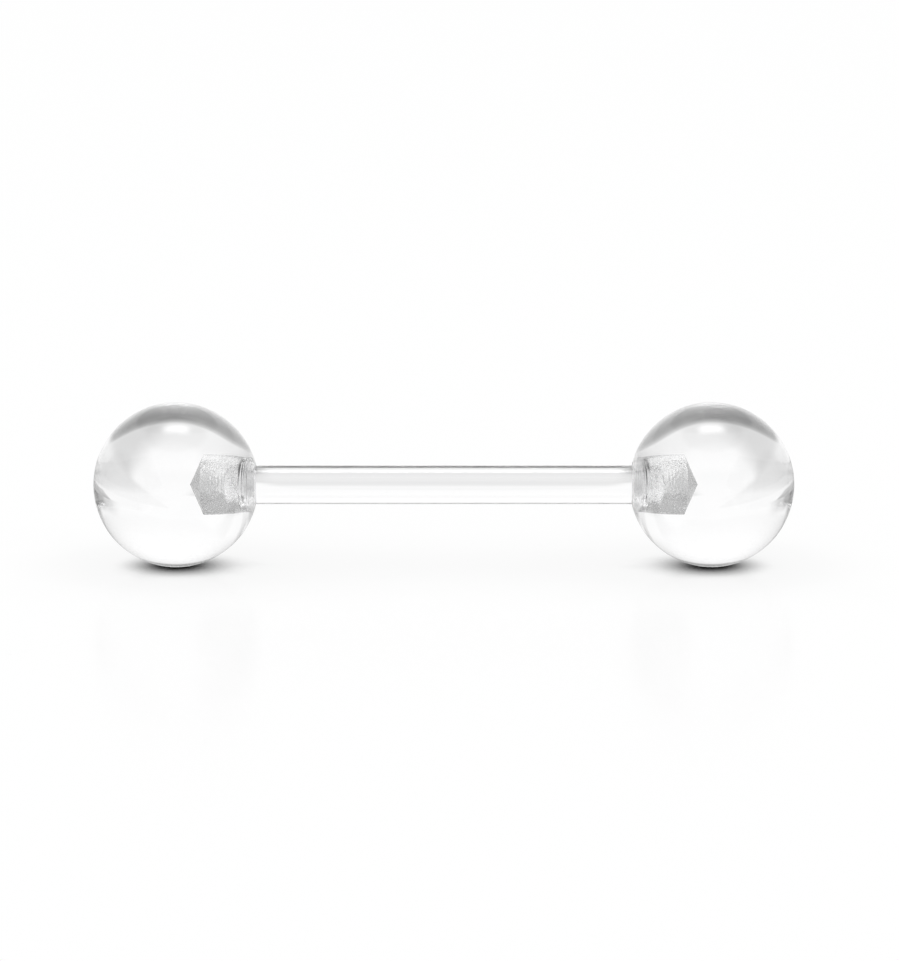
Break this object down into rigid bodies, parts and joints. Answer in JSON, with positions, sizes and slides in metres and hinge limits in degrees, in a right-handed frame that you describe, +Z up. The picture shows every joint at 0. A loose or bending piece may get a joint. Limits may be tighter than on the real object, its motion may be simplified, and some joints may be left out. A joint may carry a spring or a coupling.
{
  "type": "tongue barbell",
  "caption": "Straight clear barbell for a tongue piercing: a plain round bar with a ball on each end, each ball drilled with a blind frosted hole that takes the end of the bar.",
  "frame": {"origin": "on the surface that both balls rest on, midway between the balls and under the axis of the bar", "axes": "+X along the bar towards the right ball, +Y away from the viewer, +Z up"},
  "size_m": [0.0298, 0.007, 0.007],
  "materials": {
    "clear_bar": "clear colourless plastic rod, polished all over",
    "clear_ball": "clear colourless acrylic, polished outside and in the throat of the hole, frosted in the bore and its drilled point"
  },
  "bodies": {
    "bar": {"bar": "clear_bar"},
    "left_ball": {"left_ball": "clear_ball"},
    "right_ball": {"right_ball": "clear_ball"}
  },
  "joints": [
    {"name": "left_ball_slide", "type": "slide", "parent": "bar", "child": "left_ball", "axis": [-1, 0, 0], "range_m": [0, 0.004]},
    {"name": "right_ball_slide", "type": "slide", "parent": "bar", "child": "right_ball", "axis": [1, 0, 0], "range_m": [0, 0.004]}
  ]
}
